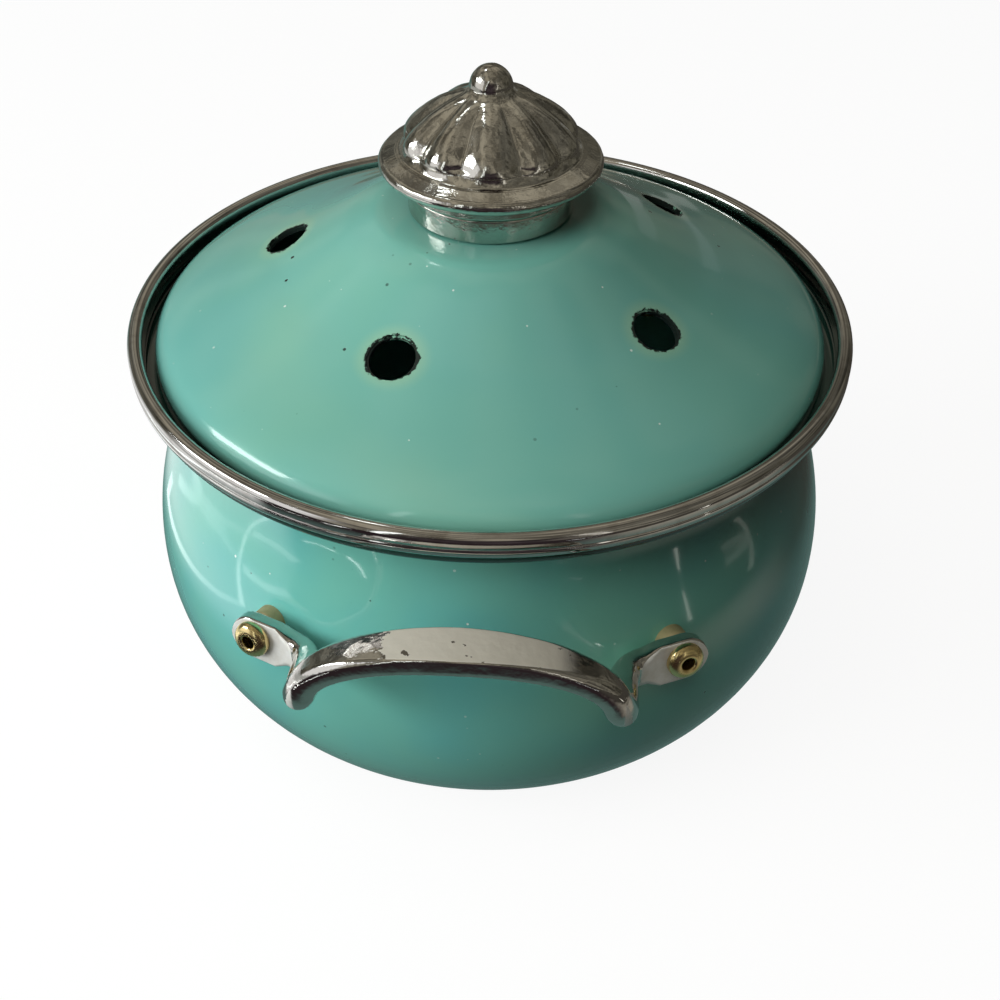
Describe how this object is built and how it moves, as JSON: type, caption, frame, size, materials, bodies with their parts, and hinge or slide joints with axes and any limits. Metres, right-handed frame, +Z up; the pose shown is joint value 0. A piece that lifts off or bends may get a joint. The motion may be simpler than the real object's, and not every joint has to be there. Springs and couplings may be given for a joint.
{
  "type": "lidded pot",
  "caption": "Round enamelled steel pot with a full belly, a lift-off lid with steam vents, a fluted cast knob and riveted carrying handles.",
  "frame": {"origin": "centre of the pot's flat underside", "axes": "+Z up through the lid's knob, -Y towards the front handle, +Y towards the rear handle"},
  "size_m": [0.1606, 0.1942, 0.1522],
  "materials": {
    "enamel": "glossy vitreous enamel, mint green",
    "rim_steel": "polished rolled steel",
    "knob_chrome": "chrome plate on a cast knob and a spun collar",
    "handle_chrome": "chrome plate on a casting, worn on top of the grip",
    "rivet_brass": "turned brass, slightly dulled",
    "zinc_plate": "zinc-plated steel"
  },
  "bodies": {
    "pot": {"pot_body": "enamel", "rim_band": "rim_steel", "front_handle": "handle_chrome", "front_left_rivet": "rivet_brass", "front_left_spacer": "rivet_brass", "front_left_burr": "rivet_brass", "front_right_rivet": "rivet_brass", "front_right_spacer": "rivet_brass", "front_right_burr": "rivet_brass", "rear_handle": "handle_chrome", "rear_left_rivet": "rivet_brass", "rear_left_spacer": "rivet_brass", "rear_left_burr": "rivet_brass", "rear_right_rivet": "rivet_brass", "rear_right_spacer": "rivet_brass", "rear_right_burr": "rivet_brass"},
    "lid": {"lid_shell": "enamel", "knob_collar": "knob_chrome", "lid_knob": "knob_chrome", "knob_screw": "zinc_plate", "knob_washer": "zinc_plate"}
  },
  "joints": [
    {"name": "lid_lift", "type": "slide", "parent": "pot", "child": "lid", "axis": [0, 0, 1], "range_m": [0, 0.06]}
  ]
}
